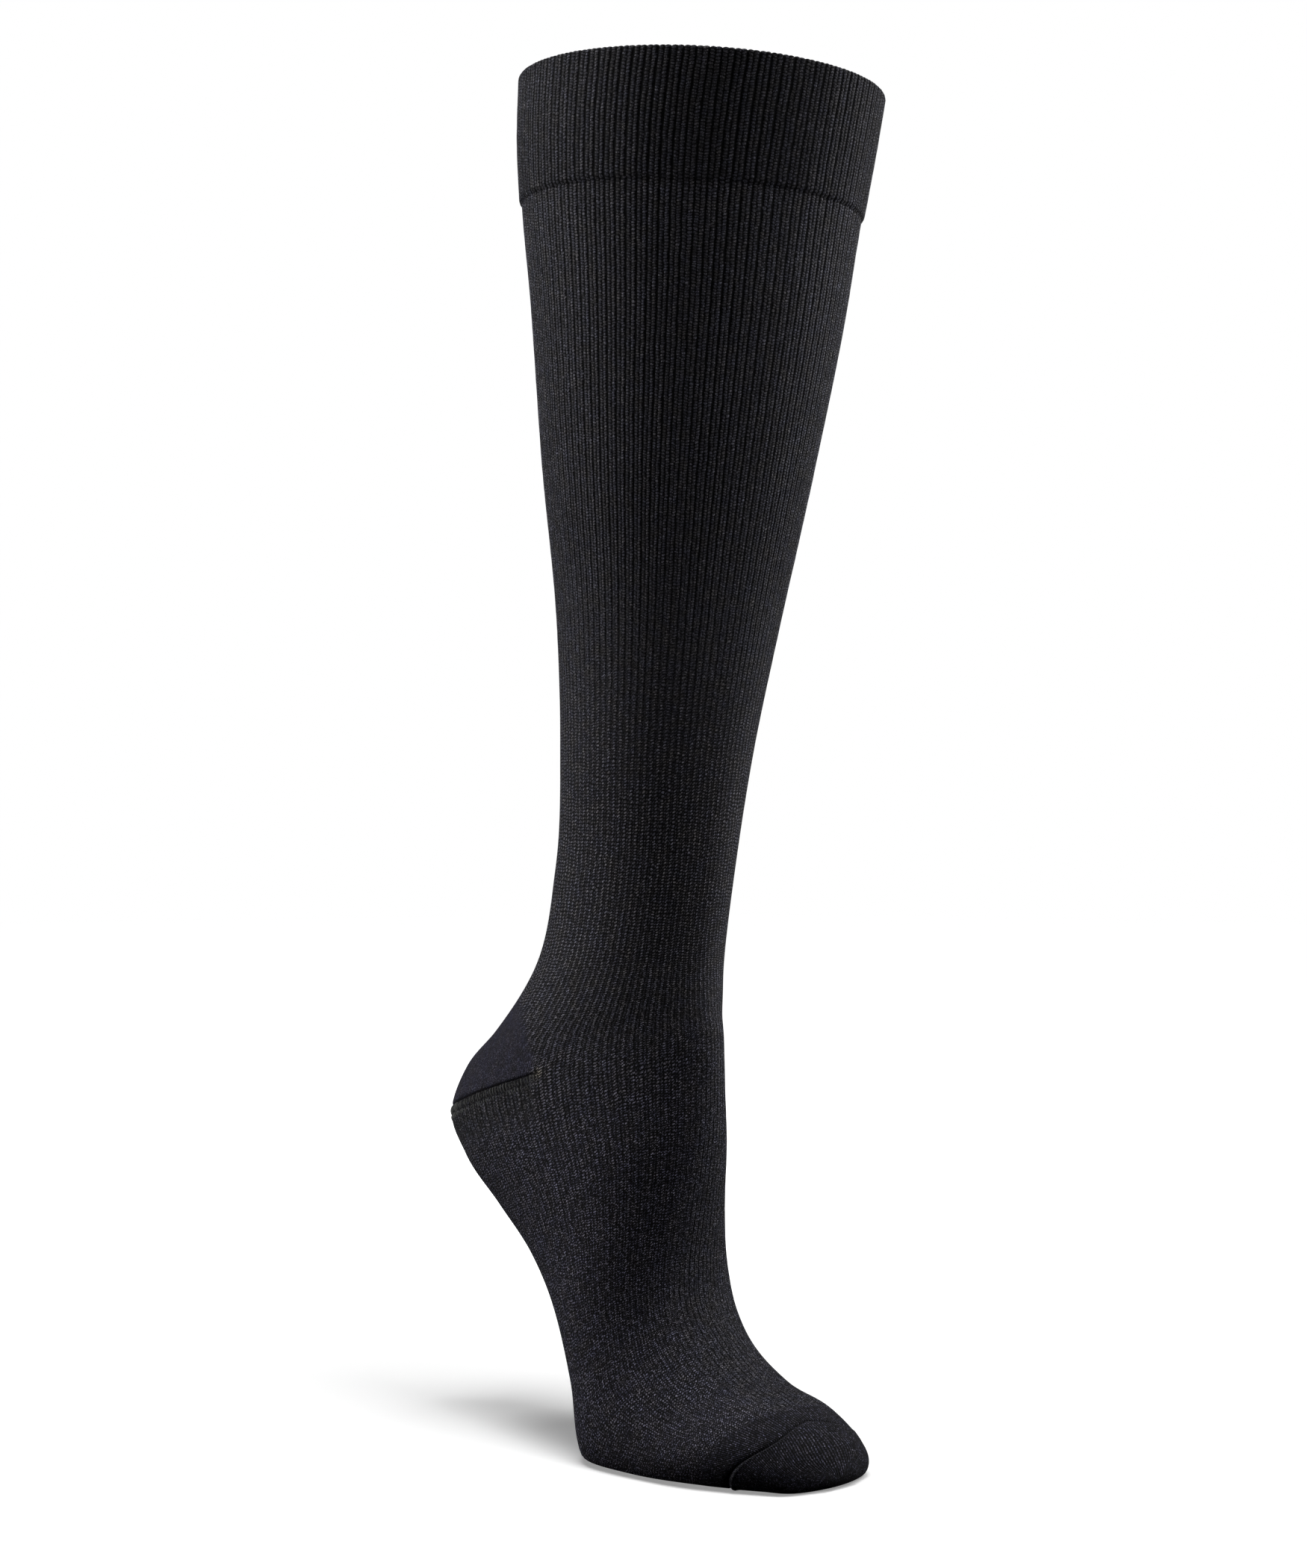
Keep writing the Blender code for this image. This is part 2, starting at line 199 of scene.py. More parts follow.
def station_of_each_ring():
    """How far each ring is from the mouth: the mean of the way down the front and the back."""
    step = np.diff(NUMBERS, axis=0)
    front = np.hypot(step[:, 0], step[:, 1])
    back = np.hypot(step[:, 2], step[:, 3])
    return np.concatenate([[0.0], np.cumsum((front + back) / 2)])


STATIONS = station_of_each_ring()


def slope_of_each_ring():
    """How fast each ring's numbers change along the tube, from its two neighbours."""
    length = np.diff(STATIONS)
    pace = np.diff(NUMBERS, axis=0) / length[:, None]
    slope = np.empty_like(NUMBERS)
    slope[0] = pace[0]
    slope[-1] = pace[-1]
    before, after = length[:-1, None], length[1:, None]
    slope[1:-1] = (pace[:-1] * after + pace[1:] * before) / (before + after)
    return slope


SLOPES = slope_of_each_ring()


def station(name, further=0.0):
    """The station of a named ring, or of a place some mm further down the tube."""
    names = [row.name for row in SECTIONS]
    return STATIONS[names.index(name)] + further


def ring_numbers(at):
    """A ring's numbers at any stations, on a smooth curve through the rows of SECTIONS."""
    row = np.clip(np.searchsorted(STATIONS, at, side="right") - 1, 0, len(STATIONS) - 2)
    length = (STATIONS[row + 1] - STATIONS[row])[:, None]
    s = (at - STATIONS[row])[:, None] / length
    return (
        (2 * s**3 - 3 * s**2 + 1) * NUMBERS[row]
        + (s**3 - 2 * s**2 + s) * length * SLOPES[row]
        + (3 * s**2 - 2 * s**3) * NUMBERS[row + 1]
        + (s**3 - s**2) * length * SLOPES[row + 1]
    )


def rest_on_floor(up):
    """The sole turns softly into the floor: nothing reaches below a height of zero."""
    turning = (up + SOLE_ROUND) ** 2 / (4 * SOLE_ROUND)
    return np.where(up <= -SOLE_ROUND, 0.0, np.where(up >= SOLE_ROUND, up, turning))


def skin(at, angle):
    """Points of the skin in mm, at stations and angles. Angle 0 is the front, 90 is +X."""
    front_fwd, front_up, back_fwd, back_up, half = ring_numbers(at).T
    towards_front = np.cos(angle)
    fwd = (front_fwd + back_fwd) / 2 + (front_fwd - back_fwd) / 2 * towards_front
    up = (front_up + back_up) / 2 + (front_up - back_up) / 2 * towards_front
    return np.stack([half * np.sin(angle), MOUTH_FWD - fwd, rest_on_floor(up) - MOUTH_UP], axis=1)


def along_tube(at, angle, step=0.05):
    """How the skin's points move as the station grows."""
    low = np.maximum(at - step, STATIONS[0])
    high = np.minimum(at + step, STATIONS[-1])
    return (skin(high, angle) - skin(low, angle)) / (high - low)[:, None]


def round_tube(at, angle, step=0.002):
    """How the skin's points move as the angle grows."""
    return (skin(at, angle + step) - skin(at, angle - step)) / (2 * step)


def unit(vectors):
    return vectors / np.linalg.norm(vectors, axis=1)[:, None]


def outward(at, angle):
    """The skin's unit normals, pointing out of the stocking."""
    return unit(np.cross(along_tube(at, angle), round_tube(at, angle)))


def for_each(angle, value):
    """A value for each angle, also where one number stands for all of them."""
    return np.zeros_like(angle) + value


def heel_edge(angle):
    """Stations of the edge where the ribbed leg gives way to the plain heel."""
    share = np.abs(np.degrees(angle) - 180.0) / HEEL_SPREAD
    return station("heel_tip") - HEEL_RISE * np.clip(1.0 - share**HEEL_FULLNESS, 0.0, 1.0)


def ease(share):
    """0 to 1 along a soft S."""
    share = np.clip(share, 0.0, 1.0)
    return share * share * (3 - 2 * share)


def courses_above(at):
    """How many courses there are from the mouth to each station."""
    stations = np.linspace(COURSE_STATIONS[0], COURSE_STATIONS[-1], 600)
    heights = np.interp(stations, COURSE_STATIONS, COURSE_HEIGHTS)
    steps = np.diff(stations) * (1 / heights[:-1] + 1 / heights[1:]) / 2
    return np.interp(at, stations, np.concatenate([[0.0], np.cumsum(steps)]))


def looseness(at, angle):
    """0 on the calf, where the knit is tight, and 1 from the ankle down, but less on the instep."""
    off_instep = angle - math.radians(INSTEP_ANGLE)
    instep = ease((np.cos(off_instep) - INSTEP_EDGE) / INSTEP_BLEND)
    instep = instep * ease((at - INSTEP_FROM) / (INSTEP_FULL - INSTEP_FROM))
    return ease((at - LOOSE_FROM) / (LOOSE_FULL - LOOSE_FROM)) * (1 - RIBBED_SHARE * instep)


# ---------------------------------------------------------------- knitted shells

def put(name, data):
    """An object that holds the data, in the scene."""
    thing = bpy.data.objects.new(name, data)
    bpy.context.scene.collection.objects.link(thing)
    return thing


def keep_facts(mesh, facts):
    """Keeps numbers and vectors on a mesh, one for each point."""
    for fact, values in facts.items():
        is_vector = values.ndim == 2
        layer = mesh.attributes.new(fact, "FLOAT_VECTOR" if is_vector else "FLOAT", "POINT")
        flat = values.astype(np.float32).ravel()
        layer.data.foreach_set("vector" if is_vector else "value", flat)


class Shell:
    """Collects the rings of one knitted shell, and what each of its points has to know."""

    def __init__(self):
        self.points = []
        self.facts = {}
        self.count = 0
        self.faces = []
        self.lips = []

    def ring(self, at, angle, depth, rib=0.0, beaded=0.0, turn=0.0, painted_shade=0.0, ladder=0.0,
             slant=0.0):
        """Points depth mm under the skin. rib is how high ribs stand there, as a share of full.

        beaded is 1 on rib knit and 0 on plain knit. turn tips the way the knit faces: outwards
        at 0, up at a quarter turn, then inwards. The share of painted shade is 1 where the knit
        is darkened in full, in the creases of the seams and under the heel's loops, and ladder
        is 1 where its columns stand apart again.
        slant moves the wales round the tube, in ribs.
        """
        at = for_each(angle, at)
        out = outward(at, angle)
        self.points.append(skin(at, angle) - out * for_each(angle, depth)[:, None])
        facts = {
            "wale": angle * RIBS / (2 * math.pi) + slant,
            "course": courses_above(at),
            "rib": for_each(angle, rib),
            "beaded": for_each(angle, beaded),
            "loose": looseness(at, angle) * (1 - ladder),
            "gore": gore_end(at, angle),
            "painted_shade": for_each(angle, painted_shade),
            "out": out * math.cos(turn) - unit(along_tube(at, angle)) * math.sin(turn),
            "around": unit(round_tube(at, angle)),
        }
        for fact, values in facts.items():
            self.facts.setdefault(fact, []).append(values)
        first = self.count
        self.count += len(angle)
        return np.arange(first, self.count)

    def lip(self, *edges):
        """Marks rows of points as cut or folded edges, which are shaded sharp."""
        self.lips.extend(edges)

    def join(self, upper, lower, closed=True):
        """Faces between two rings of points; where the counts differ, a fan to each point."""
        if len(upper) == len(lower):
            quads = np.stack([upper, lower, np.roll(lower, -1), np.roll(upper, -1)], axis=1)
            self.faces.extend(map(tuple, (quads if closed else quads[:-1]).tolist()))
            return
        above, below = 0, 0
        while above < len(upper) or below < len(lower):
            side = (int(upper[above % len(upper)]), int(lower[below % len(lower)]))
            if (below + 1) / len(lower) <= (above + 1) / len(upper):
                below += 1
                self.faces.append((*side, int(lower[below % len(lower)])))
            else:
                above += 1
                self.faces.append((*side, int(upper[above % len(upper)])))

    def join_round(self, rings):
        """Faces between each ring and the next one down, and from the last back to the first."""
        for upper, lower in zip(rings, rings[1:] + rings[:1]):
            self.join(upper, lower)

    def fan(self, ring, tip, ring_is_upper):
        """Closes a ring with triangles to one point."""
        for here, there in zip(ring.tolist(), np.roll(ring, -1).tolist()):
            self.faces.append((here, tip, there) if ring_is_upper else (here, there, tip))

    def make_object(self, name):
        mesh = bpy.data.meshes.new(name)
        mesh.from_pydata((np.concatenate(self.points) * MM).tolist(), [], self.faces)
        keep_facts(mesh, {fact: np.concatenate(rows) for fact, rows in self.facts.items()})
        self.lay_knit_map(mesh)
        mesh.shade_smooth()
        self.sharpen_lips(mesh)
        return put(name, mesh)

    def sharpen_lips(self, mesh):
        ends = np.empty(len(mesh.edges) * 2, np.int32)
        mesh.edges.foreach_get("vertices", ends)
        sharp = np.zeros(len(mesh.edges), bool)
        for lip in self.lips:
            on_lip = np.zeros(self.count, bool)
            on_lip[lip] = True
            sharp |= on_lip[ends[0::2]] & on_lip[ends[1::2]]
        layer = mesh.attributes.new("sharp_edge", "BOOLEAN", "EDGE")
        layer.data.foreach_set("value", sharp)

    def lay_knit_map(self, mesh):
        """A UV map with the wale across and the course along, unbroken round the tube."""
        wale = np.concatenate(self.facts["wale"])
        course = np.concatenate(self.facts["course"])
        corner = np.empty(len(mesh.loops), np.int32)
        mesh.loops.foreach_get("vertex_index", corner)
        sizes = np.empty(len(mesh.polygons), np.int32)
        mesh.polygons.foreach_get("loop_total", sizes)
        starts = np.concatenate([[0], np.cumsum(sizes)[:-1]])
        across = wale[corner]
        highest = np.repeat(np.maximum.reduceat(across, starts), sizes)
        across = np.where(highest - across > RIBS / 2, across + RIBS, across)
        layer = mesh.uv_layers.new(name="knit")
        layer.data.foreach_set("uv", np.stack([across, course[corner]], axis=1).ravel())


def rib_angles():
    """Four columns of points to a rib: its valley, its crest and both of its shoulders."""
    places = np.array([-0.5, -0.3, 0.0, 0.3])
    return ((np.arange(RIBS)[:, None] + places).ravel() % RIBS) * 2 * math.pi / RIBS


def plain_angles(count):
    return np.arange(count) * 2 * math.pi / count


def floor_press(at, angle):
    """1 in the open, 0 where the sole is pressed flat on the floor."""
    return np.clip((skin(at, angle)[:, 2] + MOUTH_UP) / PRESSED, 0.0, 1.0)


def gore_end(at, angle):
    """1 at the two ends of the row of loops round the heel, fading out around them."""
    aside = np.abs(np.abs(np.degrees(angle) - 180.0) - HEEL_SPREAD) * MM_PER_DEGREE
    away = np.hypot(aside, at - station("heel_tip") - GORE_BELOW)
    return np.exp(-((away / GORE_REACH) ** 2))


def toe_edge(angle):
    """Stations of the toe seam."""
    aside = np.abs((np.degrees(angle) + 180.0) % 360.0 - 180.0)
    bend = np.exp(-(((aside - SEAM_BEND_AT) / SEAM_BEND_SPREAD) ** 2))
    return station("toe_seam") + SEAM_BEND * bend


def toe_crease(angle):
    """How deep the toe's crease is, as a share of full: it fades over the top of the foot."""
    return CREASE_LEAST + (1 - CREASE_LEAST) * ease(0.5 - CREASE_TURN * np.sin(angle))


def rib_relief(at, angle):
    """How high ribs stand, as a share of full: they sink where the knit loosens."""
    return 1 - (1 - LOOSE_RELIEF) * looseness(at, angle)


def ribbed_depth(rib):
    """How deep the valleys lie: the crests are then raised back up to the skin."""
    return rib * RIB_HEIGHT + (1 - rib) * PLAIN_SUNK


def places(start, end, pitch):
    """Evenly spaced stations about pitch mm apart, both ends included."""
    return np.linspace(start, end, int(round(abs(end - start) / pitch)) + 1)


def build_band():
    """The double band: folded over at the mouth, and rolled in at its seam."""
    shell = Shell()
    top, seam = station("mouth"), station("band_seam")
    outer, back = -BAND_STANDS_OUT, -BAND_STANDS_OUT + RIB_HEIGHT + BAND_CLOTH
    middle, fold = (outer + back) / 2, (back - outer) / 2
    angle = rib_angles()
    rings = []
    for above_seam in BAND_EDGE_RINGS:
        turned_in = BAND_TUCK * (1 - ease(above_seam / BAND_ROLL)) ** 2
        depth = outer + RIB_HEIGHT + turned_in
        rings.append(shell.ring(seam - above_seam, angle, depth, 1.0, 1.0))
    for at in places(seam - BAND_EVEN_FROM, top + fold, PITCH):
        rings.append(shell.ring(at, angle, outer + RIB_HEIGHT, 1.0, 1.0))
    for turn in np.radians(FOLD_TURNS):
        rib = ease((math.pi - turn) / (math.pi / 2))
        reach = fold - RIB_HEIGHT * rib
        at, depth = top + fold - reach * math.sin(turn), middle - reach * math.cos(turn)
        rings.append(shell.ring(at, angle, depth, rib, 1.0, turn))
    for at in places(top + fold, seam, BAND_INSIDE_PITCH):
        rings.append(shell.ring(at, plain_angles(RIBS), back))
    for lower, upper in zip(rings, rings[1:] + rings[:1]):
        shell.join(upper, lower)
    shell.lip(rings[0], rings[-1])
    return shell.make_object("knit_band")


def build_leg():
    """The ribbed leg. Its ribs run out behind, where the plain heel begins."""
    shell = Shell()
    start = station("band_seam")
    angle = rib_angles()
    end = heel_edge(angle)
    behind = ease((station("heel_tip") - end) / HEEL_FADE)
    outer, lining = [], []
    for share in np.linspace(0.0, 1.0, LEG_RINGS):
        at = start + (end - start) * share
        beaded = 1 - behind * ease(1 - (end - at) / HEEL_FADE)
        rib = beaded * rib_relief(at, angle)
        outer.append(shell.ring(at, angle, ribbed_depth(rib), rib, beaded))
    inner = plain_angles(RIBS)
    for share in np.linspace(1.0, 0.0, INSIDE_RINGS):
        lining.append(shell.ring(start + (heel_edge(inner) - start) * share, inner, INSIDE))
    shell.join_round(outer + lining)
    shell.lip(outer[0], outer[-1], lining[0], lining[-1])
    return shell.make_object("knit_leg")


def build_heel():
    """The plain heel pocket. Its upper edge follows the ribs' end, point for point."""
    shell = Shell()
    spread = math.radians(HEEL_SPREAD)
    ribs = np.sort(rib_angles())
    between = ribs[np.abs(ribs - math.pi) < spread - HEEL_SIDE_CLEAR]
    columns = np.concatenate([[math.pi - spread], between, [math.pi + spread]])
    top, bottom = heel_edge(columns), station("heel_tip")
    behind = ease((bottom - top) / HEEL_FADE)
    faces = []
    for is_outer in (True, False):
        rings = []
        for share in HEEL_SHARES:
            at = top + (bottom - top) * share
            beaded = (1 - behind) * is_outer
            rib = beaded * rib_relief(at, columns)
            crease = ease(1 - (bottom - at) / CREASE_SIDE) * is_outer
            depth = (ribbed_depth(rib) if is_outer else INSIDE) + HEEL_CREASE * crease
            # the crease gets painted shade
            rings.append(shell.ring(at, columns, depth, rib, beaded, painted_shade=crease * CREASE_SHADE))
        faces.append(rings)
    outer, lining = faces
    for upper, lower in zip(outer, outer[1:]):
        shell.join(upper, lower, closed=False)
    for upper, lower in zip(lining, lining[1:]):
        shell.join(lower, upper, closed=False)
    shell.join(lining[0], outer[0], closed=False)
    shell.join(outer[-1], lining[-1], closed=False)
    for side in (0, -1):
        face, back = (np.array([int(ring[side]) for ring in rings]) for rings in faces)
        for a, b, c, d in zip(face, face[1:], back[1:], back):
            corners = (a, d, c, b) if side == 0 else (a, b, c, d)
            shell.faces.append(tuple(int(corner) for corner in corners))
        shell.lip(face, back)
    shell.lip(outer[0], outer[-1], lining[0], lining[-1])
    return shell.make_object("knit_heel")


def build_foot():
    """The ribbed foot, from the heel seam to the ball, with plain rows before the toe seam."""
    shell = Shell()
    start, ribs_end = station("heel_tip"), station("toe_seam") - PLAIN_TOE_BAND
    angle = rib_angles()
    behind = ease((HEEL_SPREAD - np.abs(np.degrees(angle) - 180.0)) / HEEL_SIDE_FADE)
    bent = toe_edge(angle)
    ends = np.linspace(0.0, 1.0, BEFORE_TOE_RINGS)[:-1, None]
    evenly = places(start + FOOT_EVEN_FROM, ribs_end - PITCH, PITCH)
    runs = [for_each(angle, at) for at in (*(start + NEAR_SEAM), *evenly)]
    runs += [*(ribs_end + (bent - CREASE_SIDE - ribs_end) * ends)]
    runs += [*(bent - NEAR_SEAM[::-1, None])]
    outer, lining = [], []
    for at in runs:
        beaded = ease((ribs_end + TOE_FADE - at) / TOE_FADE)
        rib = beaded * rib_relief(at, angle)
        toe_fold = toe_crease(angle) * ease(1 - (bent - at) / CREASE_SIDE)
        heel_fold = behind * ease(1 - (at - start) / CREASE_SIDE)
        depth = ribbed_depth(rib) + TOE_CREASE * toe_fold + HEEL_CREASE * heel_fold
        ladder = behind * ease(LADDER_HOLDS * (1 - (at - start) / LOOPS_REACH))
        # painted shade under the heel's loops and in the ladder-like knit below them
        shade_under_loops = UNDER_LOOPS_SHADE * behind * ease((LOOP_SHADE_LENGTH - at + start) / LOOP_SHADE_FADE)
        shade_under_loops = np.maximum(shade_under_loops, LADDER_SHADE * ladder)
        painted_shade = np.maximum(CREASE_SHADE * np.maximum(toe_fold, heel_fold), shade_under_loops)
        rib = rib * floor_press(at, angle)
        outer.append(shell.ring(at, angle, depth, rib, beaded, painted_shade=painted_shade, ladder=ladder))
    inner = plain_angles(RIBS)
    for share in np.linspace(1.0, 0.0, INSIDE_RINGS):
        lining.append(shell.ring(start + (toe_edge(inner) - start) * share, inner, INSIDE))
    shell.join_round(outer + lining)
    shell.lip(outer[0], outer[-1], lining[0], lining[-1])
    return shell.make_object("knit_foot")


def build_toe():
    """The plain toe, from its seam round to a closed tip."""
    shell = Shell()
    tip = station("toe_tip")
    angle = plain_angles(RIBS)
    seam, crease = toe_edge(angle), toe_crease(angle)
    rings = [shell.ring(seam + (tip - TOE_INSIDE_ENDS - seam) * share, angle, INSIDE)
             for share in np.linspace(1.0, 0.0, TOE_INSIDE_RINGS)]
    past_crease = (tip - seam - CREASE_SIDE) * np.linspace(0.0, 1.0, TOE_RINGS)[:, None]
    for into in (*NEAR_SEAM[:-1, None], *(CREASE_SIDE + past_crease)):
        at = seam + into
        fold = ease(1 - into / CREASE_SIDE) * crease
        edge = TOE_EDGE * crease * into * np.exp(1 - into)
        slant = -TOE_SLANT * (at - station("toe_seam")) * np.sin(angle)
        depth = TOE_CREASE * fold - edge
        # the crease gets painted shade
        rings.append(shell.ring(at, angle, depth, painted_shade=CREASE_SHADE * fold, slant=slant))
    for upper, lower in zip(rings, rings[1:]):
        shell.join(upper, lower)
    shell.lip(rings[TOE_INSIDE_RINGS - 1], rings[TOE_INSIDE_RINGS])
    middle = shell.points[-1].mean(axis=0)
    for ring, reach, is_upper in (
        (rings[-1], TIP_BULGE, True),
        (rings[0], -TOE_INSIDE_TIP, False),
    ):
        point = shell.ring(tip, np.zeros(1), 0.0)
        shell.points[-1][0] = middle + np.array([0.0, -reach, 0.0])
        shell.fan(ring, int(point[0]), is_upper)
    return shell.make_object("knit_toe")


# ---------------------------------------------------------------- node trees

def both_ways(operation):
    """One of Python's operators as a Math node, and its form for a number on the left."""
    def plain(self, other):
        return self.maths(operation, self, other)

    def reflected(self, other):
        return self.maths(operation, other, self)

    return plain, reflected


class Sock:
    """An output of a node. Python's operators on it add Math nodes."""

    __add__, __radd__ = both_ways("ADD")
    __sub__, __rsub__ = both_ways("SUBTRACT")
    __mul__, __rmul__ = both_ways("MULTIPLY")
    __truediv__, __rtruediv__ = both_ways("DIVIDE")
    __pow__, __rpow__ = both_ways("POWER")

    def __init__(self, tree, socket):
        self.tree = tree
        self.socket = socket

    def maths(self, operation, *values):
        return self.tree.add("ShaderNodeMath", {"operation": operation}, dict(enumerate(values)))

    def __abs__(self):
        return self.maths("ABSOLUTE", self)

    def floor(self):
        return self.maths("FLOOR", self)

    def fraction(self):
        return self.maths("FRACT", self)

    def sine(self):
        return self.maths("SINE", self)

    def cosine(self):
        return self.maths("COSINE", self)

    def at_least(self, lowest):
        return self.maths("MAXIMUM", self, lowest)

    def clamped(self):
        """Held between 0 and 1."""
        return self.tree.add("ShaderNodeClamp", {}, {"Value": self})

    def beside(self, name):
        """Another output of the same node."""
        return Sock(self.tree, self.socket.node.outputs[name])


class Tree:
    """A node tree that is being built."""

    def __init__(self, nodes, links):
        self.nodes = nodes
        self.links = links

    def add(self, kind, settings, sockets, output=0):
        """Adds a node: its settings first, then the values or links of its sockets."""
        node = self.nodes.new(kind)
        for name, value in settings.items():
            setattr(node, name, value)
        self.feed(node, sockets)
        return Sock(self, node.outputs[output]) if len(node.outputs) else node

    def feed(self, node, sockets):
        for name, value in sockets.items():
            if isinstance(value, Sock):
                self.links.new(value.socket, node.inputs[name])
            else:
                node.inputs[name].default_value = value

    def scaled(self, vector, by):
        return self.add("ShaderNodeVectorMath", {"operation": "SCALE"},
                        {"Vector": vector, "Scale": by})


def named_attribute(tree, name, kind="FLOAT"):
    return tree.add("GeometryNodeInputNamedAttribute", {"data_type": kind}, {"Name": name})


def new_geometry_tree(name, sizes):
    """A Geometry Nodes tree with a named input for each size, and one for the finish.

    Gives the tree's group, the tree, its inputs and their identifiers.
    """
    group = bpy.data.node_groups.new(name, "GeometryNodeTree")
    kinds = {"Geometry": "NodeSocketGeometry", **dict.fromkeys(sizes, "NodeSocketFloat")}
    kinds["Finish"] = "NodeSocketMaterial"
    identifiers = {}
    for label, kind in kinds.items():
        item = group.interface.new_socket(name=label, in_out="INPUT", socket_type=kind)
        identifiers[label] = item.identifier
    group.interface.new_socket(name="Geometry", in_out="OUTPUT", socket_type=kinds["Geometry"])
    tree = Tree(group.nodes, group.links)
    start = tree.add("NodeGroupInput", {}, {})
    given = {label: start.beside(label) for label in kinds}
    return group, tree, given, identifiers


def finish_geometry_tree(tree, geometry, material):
    realized = tree.add("GeometryNodeRealizeInstances", {}, {"Geometry": geometry})
    painted = tree.add("GeometryNodeSetMaterial", {}, {"Geometry": realized, "Material": material})
    tree.add("NodeGroupOutput", {}, {"Geometry": painted})


def rib_tree():
    """Raises the ribs of a shell. They wander a little sideways and vary in height."""
    group, tree, given, identifiers = new_geometry_tree(
        "raise_ribs", ("Height", "Roundness", "Waver", "Uneven", "Pairing", "Seed")
    )
    wale, course, rib, loose = (
        named_attribute(tree, fact) for fact in ("wale", "course", "rib", "loose")
    )
    turn = wale * (2 * math.pi / RIBS)
    radius = RIBS / (2 * math.pi)

    def drift(across, along, seed):
        """Smooth noise from -0.5 to 0.5 that joins up round the tube."""
        spot = tree.add("ShaderNodeCombineXYZ", {}, {
            "X": turn.cosine() * (radius / across),
            "Y": turn.sine() * (radius / across),
            "Z": course / along,
        })
        noise = tree.add("ShaderNodeTexNoise", {"noise_dimensions": "4D"},
                         {"Vector": spot, "W": given["Seed"] + seed, "Scale": 1.0, "Detail": 2.0})
        return noise - 0.5

    from_crest = abs((wale + 0.5).fraction() - 0.5) * 2
    crest = 1 - from_crest ** given["Roundness"]
    within_pair = (wale * math.pi).sine().at_least(0.0)
    filled = given["Pairing"] * (1 - loose) + loose
    paired = crest + (1 - crest) * within_pair * filled
    varied = 1 + given["Uneven"] * 2 * drift(*UNEVEN_OVER, seed=0.0)
    raised = paired * given["Height"] * rib * varied
    sideways = given["Waver"] * 2 * rib * drift(*WAVER_OVER, seed=7.0)
    up = tree.scaled(named_attribute(tree, "out", "FLOAT_VECTOR"), raised)
    across = tree.scaled(named_attribute(tree, "around", "FLOAT_VECTOR"), sideways)
    moved = tree.add("GeometryNodeSetPosition", {}, {
        "Geometry": given["Geometry"],
        "Offset": tree.add("ShaderNodeVectorMath", {"operation": "ADD"}, {0: up, 1: across}),
    })
    finish_geometry_tree(tree, moved, given["Finish"])
    return group, identifiers


def stitch_tree():
    """Sets a small arch of yarn on each point of a row, laid along one vector."""
    group, tree, given, identifiers = new_geometry_tree("stitch_row", ("Length", "Rise", "Yarn"))
    half = given["Length"] / 2
    ends = [tree.add("ShaderNodeCombineXYZ", {}, {"X": x, "Z": given["Yarn"] * -ENDS_SUNK})
            for x in (half * -1, half)]
    top = tree.add("ShaderNodeCombineXYZ", {}, {"Z": given["Rise"] * 2})
    arch = tree.add("GeometryNodeCurveQuadraticBezier", {},
                    {"Resolution": YARN_SEGMENTS, "Start": ends[0], "Middle": top, "End": ends[1]})
    round_yarn = tree.add("GeometryNodeCurvePrimitiveCircle", {},
                          {"Resolution": YARN_SEGMENTS, "Radius": given["Yarn"] / 2})
    loop = tree.add("GeometryNodeCurveToMesh", {},
                    {"Curve": arch, "Profile Curve": round_yarn, "Fill Caps": True})
    lay = tree.add("FunctionNodeAlignRotationToVector", {"axis": "X"},
                   {"Vector": named_attribute(tree, "lay", "FLOAT_VECTOR")})
    stood = tree.add("FunctionNodeAlignRotationToVector", {"axis": "Z", "pivot_axis": "X"},
                     {"Rotation": lay, "Vector": named_attribute(tree, "out", "FLOAT_VECTOR")})
    row = tree.add("GeometryNodeInstanceOnPoints", {}, {
        "Points": given["Geometry"],
        "Instance": loop,
        "Rotation": stood,
        "Scale": named_attribute(tree, "size"),
    })
    smooth = tree.add("GeometryNodeSetShadeSmooth", {}, {"Geometry": row})
    finish_geometry_tree(tree, smooth, given["Finish"])
    return group, identifiers


def grow(piece, tree, values):
    """Runs a Geometry Nodes tree on a piece, and leaves the result as its plain mesh."""
    group, identifiers = tree
    modifier = piece.modifiers.new(group.name, "NODES")
    modifier.node_group = group
    for label, value in values.items():
        modifier[identifiers[label]] = value
    graph = bpy.context.evaluated_depsgraph_get()
    mesh = bpy.data.meshes.new_from_object(
        piece.evaluated_get(graph), preserve_all_data_layers=True, depsgraph=graph
    )
    piece.modifiers.clear()
    piece.data = mesh
    mesh.name = piece.name
    return piece


# ---------------------------------------------------------------- finishes

BAND_YARN = (0.163, 0.162, 0.191)
LEG_YARN = (0.226, 0.225, 0.262)
ANKLE_YARN = (0.258, 0.254, 0.293)
FOOT_YARN = (0.234, 0.229, 0.298)
PLAIN_YARN = (0.240, 0.232, 0.330)
STRETCHED_YARN = (0.33, 0.295, 0.245)  # paler and warmer, where the lining yarn shows through
HEEL_YARN = (0.135, 0.138, 0.132)      # of the loops round the heel
TOE_YARN = (0.055, 0.054, 0.066)       # of the stitches that link the toe
# between the stitches: the knit's own dark gaps, and painted shade there
GAPS_AND_SHADE = (0.0012, 0.0012, 0.0015)
COOL_TINT = (0.95, 0.97, 1.10)         # the yarn's colour drifts between these from patch
WARM_TINT = (1.06, 1.01, 0.91)         # to patch
TINT_CONTRAST = 2.5                    # more makes the patches purer
TINT_SCALE = 240.0                     # patches in a metre
PATCH_SCALE = 45.0                     # lighter and darker patches in a metre
PATCH = 0.2                            # how much they differ at most
YARN_SHOWN = 0.45                      # share of its colour that an average stitch shows
YARN_ROUGHNESS = 0.9
YARN_SMOOTHER = 0.25                   # by this where it shows in full
YARN_SHINE = 0.12
RELIEF = 0.4                           # mm, of the stitches

